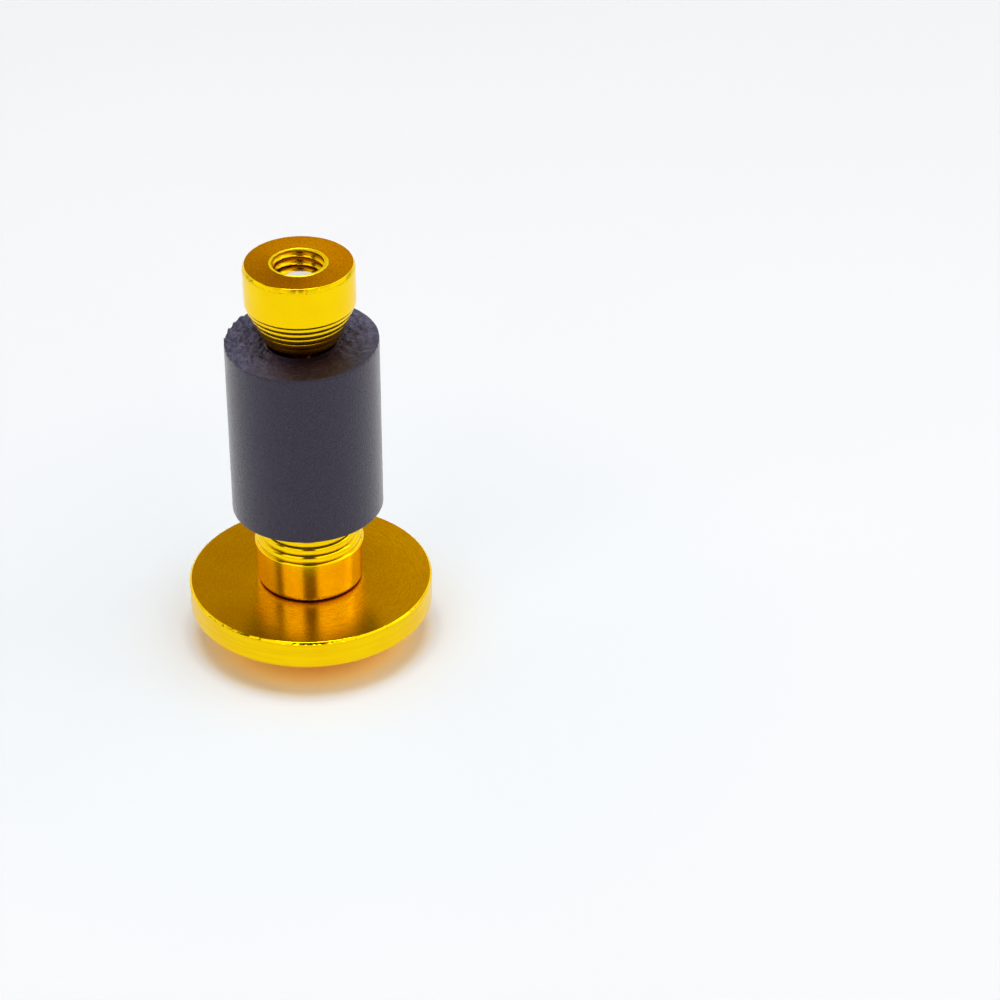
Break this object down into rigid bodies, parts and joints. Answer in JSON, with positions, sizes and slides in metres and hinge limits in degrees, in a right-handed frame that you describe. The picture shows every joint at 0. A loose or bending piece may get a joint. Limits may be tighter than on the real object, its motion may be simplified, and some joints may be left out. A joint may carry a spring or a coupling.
{
  "type": "bar end weight",
  "caption": "Handlebar end weight: a round gold end cap and a ridged wedge collar, with a rubber sleeve that a tapered nut on a socket head screw squeezes to grip inside the bar.",
  "frame": {"origin": "centre of the cap's flat front ring, on which the part stands", "axes": "+Z along the screw's axis, from the cap towards the nut; X and Y are any two directions across it"},
  "size_m": [0.028, 0.028, 0.0487],
  "materials": {
    "gold_anodised": "bright gold anodise over fine turning marks",
    "charcoal_rubber": "satin moulded rubber with a rough cut end",
    "zinc_plate": "bright zinc plate"
  },
  "bodies": {
    "plug": {"end_cap": "gold_anodised", "front_cone": "gold_anodised", "rubber_sleeve": "charcoal_rubber"},
    "screw": {"socket_screw": "zinc_plate"},
    "nut": {"rear_cone_nut": "gold_anodised"}
  },
  "joints": [
    {"name": "screw_turn", "type": "hinge", "parent": "plug", "child": "screw", "pos_m": [0, 0, 0], "axis": [0, 0, 1], "range_deg": [0, 1440]},
    {"name": "nut_slide", "type": "slide", "parent": "plug", "child": "nut", "axis": [0, 0, -1], "range_m": [0, 0.00401], "deforming": ["rubber_sleeve"]}
  ],
  "couplings": [
    {"joint": "nut_slide", "follows": "screw_turn", "m_per_rad": 0.00015915}
  ]
}
